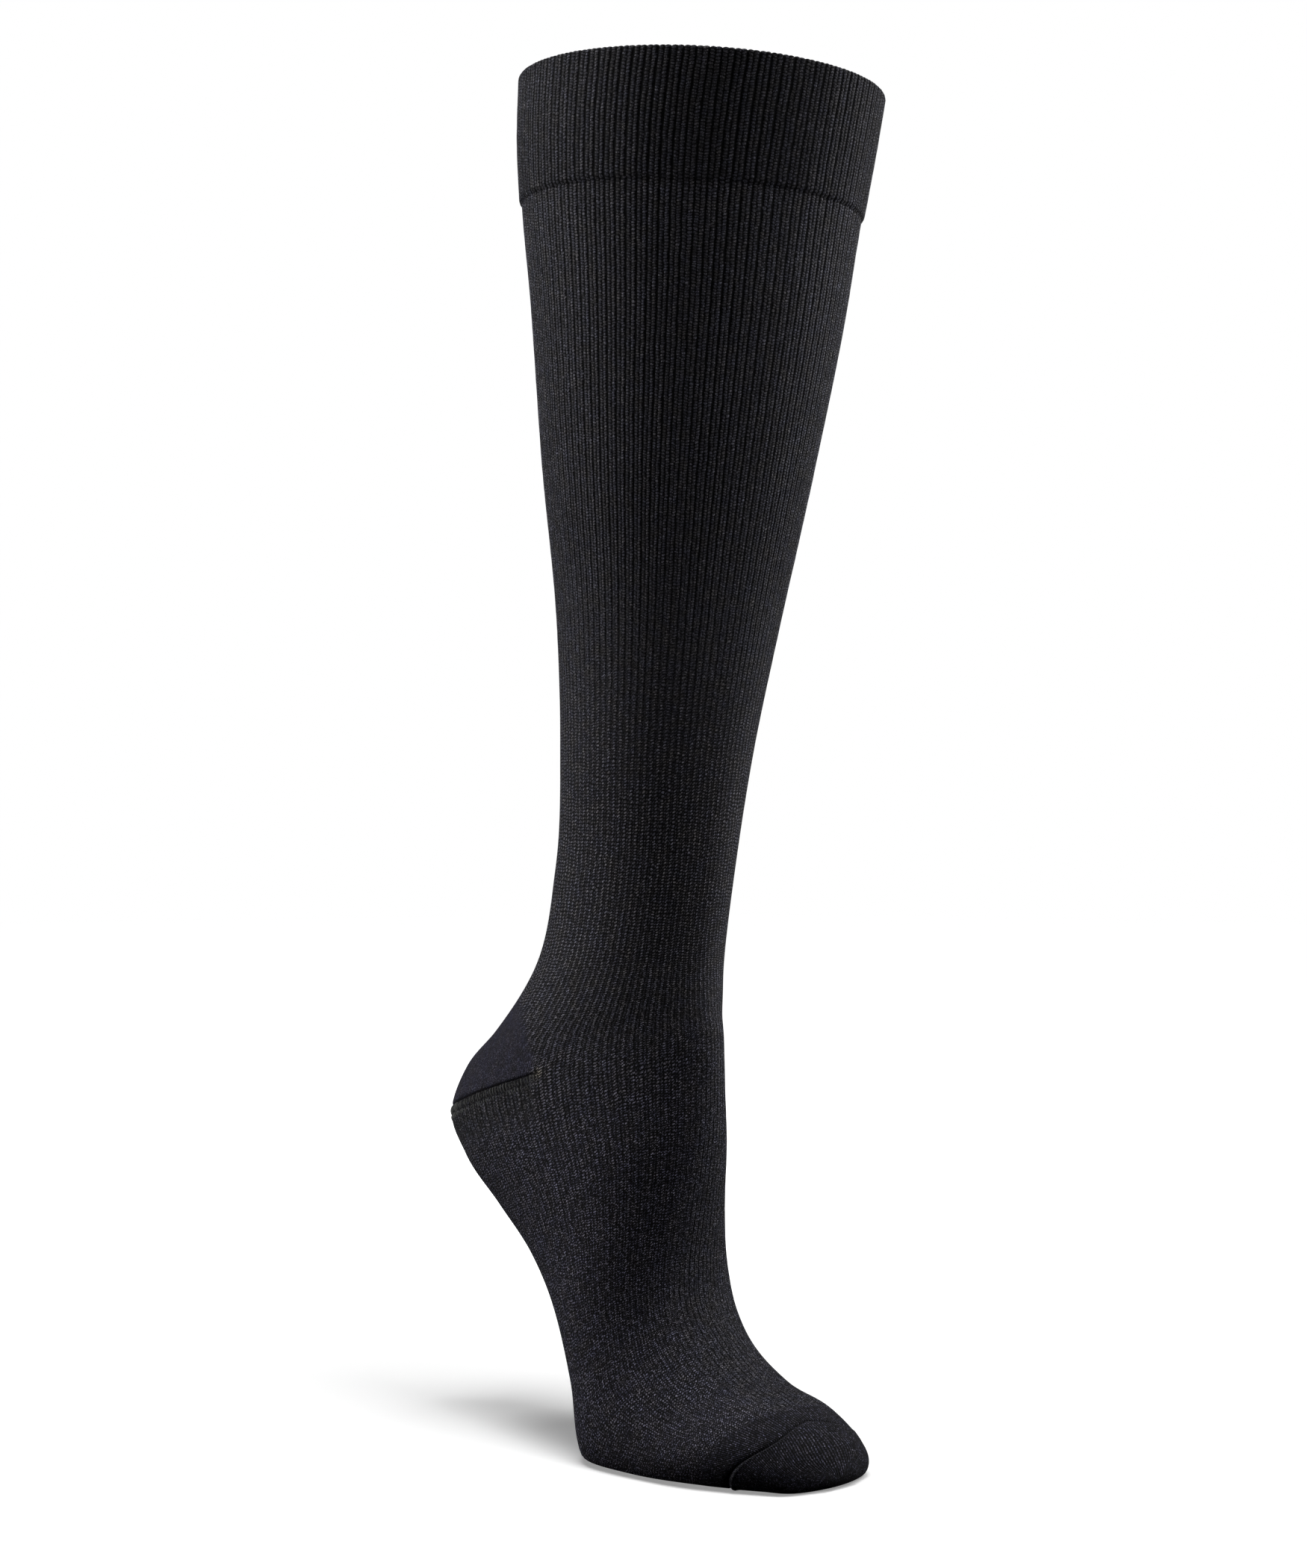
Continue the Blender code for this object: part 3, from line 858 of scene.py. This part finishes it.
# Ovals of yarn: half width, in ribs or wales, half height, in courses, and how crisp the edge is.
Oval = namedtuple("Oval", "half_width half_height edge")
BEAD = Oval(0.42, 0.42, 3.0)
STROKE = Oval(0.26, 0.34, 3.0)
FAR_LEG = Oval(0.18, 0.34, 3.0)
PLAIN_LOOP = Oval(0.37, 0.60, 1.6)

# Beads: one for each leg of a stitch where the rib knit is tight.
LEG_SLANT = 0.3       # courses that a stitch's leg climbs across its width
BEAD_WOBBLE = 0.4     # of the pitch: columns stray from the crest by half of it
BEAD_ASIDE = 0.15     # and each bead from its column, by half of this
LEGS_LEAN_IN = 0.06   # of the pitch, towards the other leg of the same wale
LEGS_APART = 0.25     # courses up for one leg and down for the other
LEG_OFFSET = 0.35     # and up at random by at most this, a column at a time
LEFT_LEG_SHADE = 0.2     # painted shade: left legs are darker than right ones
TOGETHER = 0.9        # beads of a column run together in places: this times smooth noise,
TOGETHER_FROM = 0.05  # less this
COLUMN_SHOWS = 0.25   # how much of the column then shows between them
COLUMN_BEADS = 0.5    # and how much more where they are
TIGHT_GROUND = 0.07   # how much yarn shows between the beads
STREAK = 0.7          # long streaks along a column, by this share in all

# Strokes: one slanted leg for each stitch where the rib knit is loose.
STROKE_CLIMB = 0.9    # courses that a loose stitch climbs across its wale
STROKE_ASIDE = 0.2    # of the wale: strokes stray by half of it
FAR_LEG_SHARE = 0.35  # its other leg shows half a course lower, and fainter
FAR_LEG_MORE = 0.3    # and more by this on the foot
LOOSE_GROUND = 0.03   # how much yarn shows round a loose stitch
FOOT_FROM = 330.0     # station where the leg's stitches begin to turn into
FOOT_FULL = 400.0     # the foot's, which are there from here on
FOOT_DARKER = 0.3     # less yarn shows there

# Loops: one for each stitch of the plain knit.
PLAIN_CLIMB = 0.5     # courses that a plain stitch climbs across its wale
PLAIN_OFFSET = 0.3    # courses, at random from wale to wale
PLAIN_LEAST = 0.3     # brightness of the darkest loops
PLAIN_LIT = 1.2       # and how much brighter the lightest are
PLAIN_RELIEF = 0.6    # as a share of a bead's

# The stretched stitches at the ends of the heel's row of loops.
GORE_LIGHTER = 0.5    # brighter by this share
GORE_STRETCHED = 1.2  # how fast the colour turns into the stretched yarn's

# Flecks: filaments of random tone, a few of them with painted glints.
FLECK = 0.3           # mm
PLAIN_FLECKED = 0.65  # how strong they are on plain knit
LOOSE_FLECKED = 0.3   # and above full strength where the knit is loose
FOOT_FLECKED = 1.1    # and more again on the foot

# How brightness varies at random: its least, how much it grows evenly, and what the painted glints
# of a few add.
Sparkle = namedtuple("Sparkle", "least more glint")
PAINTED_GLINT_POWER = 6
BEAD_SPARKLE = Sparkle(0.65, 0.2, 0.25)
STROKE_SPARKLE = Sparkle(0.85, 0.15, 0.15)
FLECK_SPARKLE = Sparkle(0.4, 0.6, 1.7)

# How far smooth noise moves on for each rib across and for each course along.
Pace = namedtuple("Pace", "across along")
DRIFT_PACE = Pace(0.17, 0.11)
WOBBLE_PACE = Pace(5.77, 0.4)
TOGETHER_PACE = Pace(2.71, 0.11)
STREAK_PACE = Pace(3.17, 0.05)
DRIFT = 2.5  # courses that the rows wander up and down in all

# Plain knit: stitches for each rib and course of the tube, brightness, and contrast.
Plain = namedtuple("Plain", "wales courses shade contrast")
FINE_PLAIN = Plain(2.0, 1.25, 0.24, 0.25)
TOE_PLAIN = Plain(0.9, 1.0, 0.135, 1.0)


def new_finish(name):
    material = bpy.data.materials.new(name)
    material.use_nodes = True
    nodes = material.node_tree.nodes
    tree = Tree(nodes, material.node_tree.links)
    return material, tree, nodes["Principled BSDF"]


def mix_colour(tree, share, first, second, blend="MIX"):
    """From the first colour to the second. The node's sockets share names: they go by number."""
    first, second = ((*c, 1.0) if isinstance(c, tuple) else c for c in (first, second))
    return tree.add("ShaderNodeMix", {"data_type": "RGBA", "blend_type": blend},
                    {0: share, 6: first, 7: second}, output=2)


def random_of(tree, first, second):
    """A random number from 0 to 1 for each pair of whole numbers."""
    spot = tree.add("ShaderNodeCombineXYZ", {}, {"X": first, "Y": second})
    return tree.add("ShaderNodeTexWhiteNoise", {"noise_dimensions": "2D"}, {"Vector": spot})


def smooth_noise(tree, across, along, pace, detail=2.0):
    """Smooth noise from 0 to 1, one patch for each whole number that the pace comes to."""
    spot = tree.add("ShaderNodeCombineXYZ", {},
                    {"X": across * pace.across, "Y": along * pace.along})
    return tree.add("ShaderNodeTexNoise", {"noise_dimensions": "2D"},
                    {"Vector": spot, "Scale": 1.0, "Detail": detail})


def about_one(noise, swing):
    """Noise from 0 to 1 as a factor that swings about 1."""
    return 1 - swing / 2 + swing * noise


def sparkling(lit, how):
    """Random numbers from 0 to 1 as brightness: random tone, with painted glints near 1."""
    return how.least + how.more * lit + how.glint * lit ** PAINTED_GLINT_POWER


def oval(x, y, size):
    """1 in the middle of an oval of yarn, and 0 from its rim outwards."""
    across, along = x / size.half_width, y / size.half_height
    return (size.edge * (1 - across * across - along * along)).clamped()


def tight_stitches(tree, wale, course, drift):
    """How much yarn shows on tight rib knit, and its relief: a column of beads for each leg.

    Even ribs are the left legs of their wales, and odd ribs are the right ones.
    """
    number = (wale + 0.5).floor()
    side = 1 - 4 * (number / 2).fraction()
    wobble = smooth_noise(tree, number, course, WOBBLE_PACE) - 0.5
    x = wale - number + wobble * BEAD_WOBBLE - side * LEGS_LEAN_IN
    own = random_of(tree, number, 0.5) * LEG_OFFSET
    height = course - x * side * LEG_SLANT + side * LEGS_APART + drift + own
    row = height.floor()
    lit = random_of(tree, number, row)
    aside = random_of(tree, number + 0.5, row) - 0.5
    x = x + aside * BEAD_ASIDE
    bead = oval(x, height.fraction() - 0.5, BEAD)
    across = x / BEAD.half_width
    column = (1 - across * across * across * across).clamped()
    together = TOGETHER * smooth_noise(tree, number, course, TOGETHER_PACE) - TOGETHER_FROM
    together = together.clamped()
    merged = column * together * (COLUMN_SHOWS + COLUMN_BEADS * bead)
    shape = TIGHT_GROUND + (1 - TIGHT_GROUND) * (bead * (1 - together) + merged)
    streak = about_one(smooth_noise(tree, number, course, STREAK_PACE, detail=3.0), STREAK)
    # painted shade on the left legs
    side_light = 1 - LEFT_LEG_SHADE / 2 - LEFT_LEG_SHADE / 2 * side
    return shape * sparkling(lit, BEAD_SPARKLE) * streak * side_light, shape


def loose_stitches(tree, wale, course, drift, on_foot):
    """How much yarn shows on loose knit, and its relief: one slanted stroke for each stitch."""
    place = (wale + 0.5) / 2
    number = place.floor()
    x = place - number - 0.5
    height = course + x * STROKE_CLIMB + drift
    row = height.floor()
    lit = random_of(tree, number + 0.5, row)
    aside = (random_of(tree, number, row + 0.5) - 0.5) * STROKE_ASIDE
    y = height - row - 0.5
    stroke = oval(x + aside, y, STROKE)
    far_leg = oval(abs(x) - 0.5, abs(y) - 0.5, FAR_LEG) * (FAR_LEG_SHARE + FAR_LEG_MORE * on_foot)
    shape = LOOSE_GROUND + (1 - LOOSE_GROUND) * (stroke + far_leg)
    return shape * sparkling(lit, STROKE_SPARKLE), stroke + far_leg


def plain_stitches(tree, wale, course, plain):
    """How much yarn shows on plain knit, and its relief: one slanted leg of each stitch."""
    fine = wale * plain.wales
    number = fine.floor()
    x = fine - number - 0.5
    offset = random_of(tree, number, 0.5) * PLAIN_OFFSET
    height = course * plain.courses + x * PLAIN_CLIMB + offset
    row = height.floor()
    lit = random_of(tree, number, row)
    loop = oval(x, height - row - 0.5, PLAIN_LOOP)
    varied = plain.contrast * 2 * loop * (PLAIN_LEAST + PLAIN_LIT * lit)
    return plain.shade * (1 - plain.contrast + varied), loop


def flecks(tree, where):
    """Filaments of the yarn, of random tone, a few with painted glints: about 1 on the average."""
    cell = tree.scaled(where, 1 / (FLECK * MM))
    cell = tree.add("ShaderNodeVectorMath", {"operation": "FLOOR"}, {0: cell})
    lit = tree.add("ShaderNodeTexWhiteNoise", {"noise_dimensions": "3D"}, {"Vector": cell})
    return sparkling(lit, FLECK_SPARKLE)


def patches(tree, where, scale, detail):
    return tree.add("ShaderNodeTexNoise", {}, {"Vector": where, "Scale": scale, "Detail": detail})


def object_place(tree):
    return tree.add("ShaderNodeTexCoord", {}, {}, output="Object")


def knit_finish(name, tight_yarn, plain):
    """Stitches drawn on the knit map: beads where the ribs stand, loops where it is plain."""
    material, tree, shader = new_finish(name)
    knit = tree.add("ShaderNodeUVMap", {"uv_map": "knit"}, {})
    wale = tree.add("ShaderNodeSeparateXYZ", {}, {"Vector": knit})
    course = wale.beside("Y")
    where = object_place(tree)
    beaded, gore, loose, painted_shade = (
        tree.add("ShaderNodeAttribute", {"attribute_name": fact}, {}, output="Fac")
        for fact in ("beaded", "gore", "loose", "painted_shade")
    )
    foot_from, foot_full = courses_above(FOOT_FROM), courses_above(FOOT_FULL)
    on_foot = ((course - foot_from) / (foot_full - foot_from)).clamped()

    drift = smooth_noise(tree, wale, course, DRIFT_PACE) * DRIFT
    tight, tight_relief = tight_stitches(tree, wale, course, drift)
    strokes, stroke_relief = loose_stitches(tree, wale, course, drift, on_foot)
    loops, loop_relief = plain_stitches(tree, wale, course, plain)
    beads = (tight * (1 - loose) + strokes * loose) * (1 - FOOT_DARKER * on_foot)
    bead_relief = tight_relief * (1 - loose) + stroke_relief * loose
    light = beads * beaded + loops * (1 - beaded)
    relief = bead_relief * beaded + loop_relief * (1 - beaded) * PLAIN_RELIEF

    how_flecked = PLAIN_FLECKED + (1 + LOOSE_FLECKED * loose - PLAIN_FLECKED) * beaded
    how_flecked = how_flecked + FOOT_FLECKED * on_foot
    patch = about_one(patches(tree, where, PATCH_SCALE, 3.0), PATCH)
    uneven = flecks(tree, where) ** how_flecked * patch
    # the last factor is painted shade, in the creases of the seams and under the heel's loops
    shade = YARN_SHOWN * light * uneven * (1 + GORE_LIGHTER * gore) * (1 - painted_shade)
    shade = shade.clamped()

    loose_yarn = mix_colour(tree, on_foot, ANKLE_YARN, FOOT_YARN)
    rib_yarn = mix_colour(tree, loose, tight_yarn, loose_yarn)
    yarn = mix_colour(tree, beaded, PLAIN_YARN, rib_yarn)
    warmth = TINT_CONTRAST * patches(tree, where, TINT_SCALE, 2.0) - (TINT_CONTRAST - 1) / 2
    tint = mix_colour(tree, warmth.clamped(), COOL_TINT, WARM_TINT)
    tinted = mix_colour(tree, 1.0, yarn, tint, blend="MULTIPLY")
    stretched = mix_colour(tree, (gore * GORE_STRETCHED).clamped(), tinted, STRETCHED_YARN)
    bump = {"Strength": 1.0, "Distance": RELIEF * MM, "Height": relief}
    tree.feed(shader, {
        "Base Color": mix_colour(tree, shade, GAPS_AND_SHADE, stretched),
        "Roughness": YARN_ROUGHNESS - YARN_SMOOTHER * shade,
        "Normal": tree.add("ShaderNodeBump", {}, bump),
        "Specular IOR Level": YARN_SHINE,
    })
    return material


# ---------------------------------------------------------------- rows of stitches

LOOP_DARK = 0.2       # brightness between the fibres of the linking yarn, as a share of full
LOOP_FIBRES = 3500.0  # in a metre

Row = namedtuple("Row", "points below length size finish")


def stitch_row(name, at, angle, depth, size):
    """Points for a row of stitches, and which way each of them lies and faces."""
    at = for_each(angle, at)
    out = outward(at, angle)
    points = (skin(at, angle) - out * for_each(angle, depth)[:, None]) * MM
    down, around = unit(along_tube(at, angle)), unit(round_tube(at, angle))
    lean = math.radians(STITCH_LEAN)
    lay = down * math.cos(lean) + around * math.sin(lean)
    mesh = bpy.data.meshes.new(name)
    mesh.from_pydata(points.tolist(), [], [])
    keep_facts(mesh, {"out": out, "lay": lay, "size": for_each(angle, size)})
    return put(name, mesh)


def heel_loops(below, size):
    """One row of loops along the heel's lower edge, below mm under it."""
    turn = np.radians(np.linspace(180.0 - LOOPS_SPREAD, 180.0 + LOOPS_SPREAD, LOOPS_ROUND_HEEL))
    chance = np.random.default_rng(int(below * 10)).random(len(turn))
    size = size * (LOOPS_LEAST + LOOPS_VARY * chance)
    name = f"heel_loops_{int(below)}"
    return stitch_row(name, station("heel_tip", below), turn, LOOPS_SUNK, size)


def toe_links(below, size):
    """The row of stitches that links the toe to the foot. They shrink where the crease fades."""
    turn = plain_angles(LINKS_ROUND_TOE)
    crease = toe_crease(turn)
    chance = np.random.default_rng(5).random(len(turn))
    size = size * (LINKS_LEAST + LINKS_VARY * chance) * np.sqrt(crease)
    depth = LINKS_SUNK - LINKS_RAISED * crease
    return stitch_row("toe_links", toe_edge(turn) + below, turn, depth, size)


def link_stitches(stitches, row):
    piece = row.points(row.below, row.size)
    grow(piece, stitches, {
        "Length": row.length * MM,
        "Rise": STITCH_RISE * MM,
        "Yarn": STITCH_YARN * MM,
        "Finish": row.finish,
    })
    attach(piece, BODY)
    return piece


def yarn_finish(name, colour):
    material, tree, shader = new_finish(name)
    fibre = patches(tree, object_place(tree), LOOP_FIBRES, 2.0)
    dark = tuple(channel * LOOP_DARK for channel in colour)
    tree.feed(shader, {
        "Base Color": mix_colour(tree, fibre, dark, colour),
        "Roughness": 0.8,
        "Specular IOR Level": 0.25,
    })
    return material


# ---------------------------------------------------------------- the studio

VIEW_BEARING = math.radians(-45.0)
CAMERA_AT = Vector((-0.6343, -0.6105, -0.2785))
CAMERA_AIM = Vector((0.0021, 0.0259, -0.2470))
FOCAL_PX = 3335.0  # on the 2100 px long side of the picture
LONG_SIDE_PX = 2100.0
SENSOR = 36.0
FLOOR_REACH = 8.0  # m
FLOOR_GAP = 0.2    # mm under the sole
GLOW_FROM = 0.55   # m from the origin to where the floor starts to glow
GLOW_FULL = 0.80
GLOW_NEAR = 0.3    # how much it glows up to there

# Flat lamps. Bearing 0 is at the camera, and 90 is to its right. Height is above the middle of
# the stocking, in m, and power is in watts.
Lamp = namedtuple("Lamp", "name bearing distance height size power")

STOCKING_LAMPS = [
    Lamp("left_box",            -84, 1.30, 0.05, (0.30, 1.60), 10.2),
    Lamp("left_high_box",      -105, 1.20, 0.70, (0.35, 0.80),  7.1),
    Lamp("left_top_box",        -90, 0.80, 1.20, (0.90, 0.90), 11.3),
    Lamp("right_box",           125, 1.30, 0.05, (0.30, 1.60),  5.6),
    Lamp("right_high_box",       75, 1.20, 0.70, (0.35, 0.80), 10.0),
    Lamp("right_back_box",      115, 1.20, 0.70, (0.35, 0.80), 11.1),
]
FLOOR_GLOW = Lamp("front_floor_glow", 0, 0.35, 0.0, (0.40, 0.40), 0.52)
FLOOR_LAMPS = [
    Lamp("front_overhead_box",    0, 0.25, 1.30, (0.70, 0.70), 11.0),
    Lamp("right_overhead_box",   45, 0.25, 1.30, (0.70, 0.70),  6.0),
    Lamp("far_right_box",        45, 1.20, 1.30, (0.90, 0.90), 13.0),
    Lamp("back_overhead_box",   225, 0.60, 1.30, (0.35, 0.35),  5.5),
]


def place_camera():
    data = bpy.data.cameras.new("camera")
    data.sensor_width = SENSOR
    data.lens = FOCAL_PX / LONG_SIDE_PX * SENSOR
    data.clip_start = 0.01
    data.clip_end = 50.0
    camera = put("camera", data)
    camera.location = CAMERA_AT
    camera.rotation_euler = (CAMERA_AIM - CAMERA_AT).to_track_quat("-Z", "Y").to_euler()
    bpy.context.scene.camera = camera


def softbox(row):
    """A flat lamp aimed at the middle of the stocking."""
    turn = VIEW_BEARING + math.radians(row.bearing)
    middle = Vector((0.0, 0.0, FLOOR / 2))
    aside, ahead = math.sin(turn) * row.distance, -math.cos(turn) * row.distance
    place = middle + Vector((aside, ahead, row.height))
    data = bpy.data.lights.new(row.name, "AREA")
    data.shape = "RECTANGLE"
    data.size, data.size_y = row.size
    data.energy = row.power
    lamp = put(row.name, data)
    lamp.location = place
    lamp.rotation_euler = (middle - place).to_track_quat("-Z", "Y").to_euler()
    lamp.visible_camera = False
    return lamp


def floor_glow(row):
    """The light that a patch of bright floor throws up at the stocking."""
    lamp = softbox(row)
    lamp.location.z = FLOOR + MM
    lamp.rotation_euler = (math.pi, 0.0, VIEW_BEARING + math.radians(row.bearing))
    return lamp


def light_studio(floor):
    """Seven soft lamps for all but the floor, and four overhead for the floor alone."""
    but_floor = bpy.data.collections.new("all_but_the_floor")
    but_floor.objects.link(floor)
    but_floor.collection_objects[0].light_linking.link_state = "EXCLUDE"
    floor_alone = bpy.data.collections.new("the_floor_alone")
    floor_alone.objects.link(floor)
    for lamp in (*map(softbox, STOCKING_LAMPS), floor_glow(FLOOR_GLOW)):
        lamp.light_linking.receiver_collection = but_floor
    for lamp in map(softbox, FLOOR_LAMPS):
        lamp.light_linking.receiver_collection = floor_alone


def lay_floor():
    """A white floor without an edge. It glows where it is far off, and takes shadows nearby."""
    z = FLOOR - FLOOR_GAP * MM
    low, high = -FLOOR_REACH, FLOOR_REACH
    corners = [(low, low, z), (high, low, z), (high, high, z), (low, high, z)]
    mesh = bpy.data.meshes.new("floor")
    mesh.from_pydata(corners, [], [(0, 1, 2, 3)])
    floor = put("floor", mesh)
    material, tree, shader = new_finish("white_floor")
    distance = tree.add("ShaderNodeVectorMath", {"operation": "LENGTH"},
                        {0: object_place(tree)}, output="Value")
    beyond = ((distance - GLOW_FROM) / (GLOW_FULL - GLOW_FROM)).clamped()
    tree.feed(shader, {
        "Emission Color": mix_colour(tree, beyond, (GLOW_NEAR,) * 3, (1.0, 1.0, 1.0)),
        "Emission Strength": 1.0,
        "Base Color": (0.9, 0.9, 0.9, 1.0),
        "Roughness": 0.9,
        "Specular IOR Level": 0.0,
    })
    mesh.materials.append(material)
    floor.visible_diffuse = False
    floor.visible_glossy = False
    return floor


def set_backdrop():
    world = bpy.data.worlds.new("white_room")
    world.use_nodes = True
    background = world.node_tree.nodes["Background"]
    background.inputs["Color"].default_value = (1.0, 1.0, 1.0, 1.0)
    background.inputs["Strength"].default_value = 1.0
    bpy.context.scene.world = world
    world.cycles_visibility.diffuse = False
    world.cycles_visibility.glossy = False
    bpy.context.scene.view_settings.view_transform = "Standard"


# ---------------------------------------------------------------- putting it together

def dress():
    ribs, stitches = rib_tree(), stitch_tree()
    band = knit_finish("black_band_knit", BAND_YARN, FINE_PLAIN)
    upper = knit_finish("black_rib", LEG_YARN, FINE_PLAIN)
    lower = knit_finish("black_foot_knit", LEG_YARN, TOE_PLAIN)
    heel_yarn = yarn_finish("heel_loop_yarn", HEEL_YARN)
    toe_yarn = yarn_finish("toe_linking_yarn", TOE_YARN)
    raised = {
        "Height": RIB_HEIGHT * MM,
        "Roundness": RIB_ROUNDNESS,
        "Waver": WAVER * MM,
        "Uneven": UNEVEN,
        "Pairing": PAIRING,
        "Seed": 0.0,
    }
    shells = (
        (build_band, band, "top_band", "band_knit", (0.34, 0.046)),
        (build_leg, upper, "leg", "leg_knit", (0.25, 0.29)),
        (build_heel, upper, "heel_pocket", "heel_knit", (0.10, 0.05)),
        (build_foot, lower, "foot", "foot_knit", (0.19, 0.18)),
        (build_toe, lower, "toe_cap", "toe_knit", (0.14, 0.022)),
    )
    linked = {
        "foot": (
            Row(heel_loops, below=1.9, length=2.6, size=1.0, finish=heel_yarn),
            Row(heel_loops, below=4.4, length=2.0, size=0.85, finish=heel_yarn),
        ),
        "toe_cap": (Row(toe_links, below=1.3, length=1.2, size=0.8, finish=toe_yarn),),
    }
    for build, finish, node, slot, flat in shells:
        piece = build()
        grow(piece, ribs, {**raised, "Finish": finish})
        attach(piece, BODY)
        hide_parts(node)
        rows = [link_stitches(stitches, row) for row in linked.get(node, ())]


place_camera()
light_studio(lay_floor())
set_backdrop()
dress()
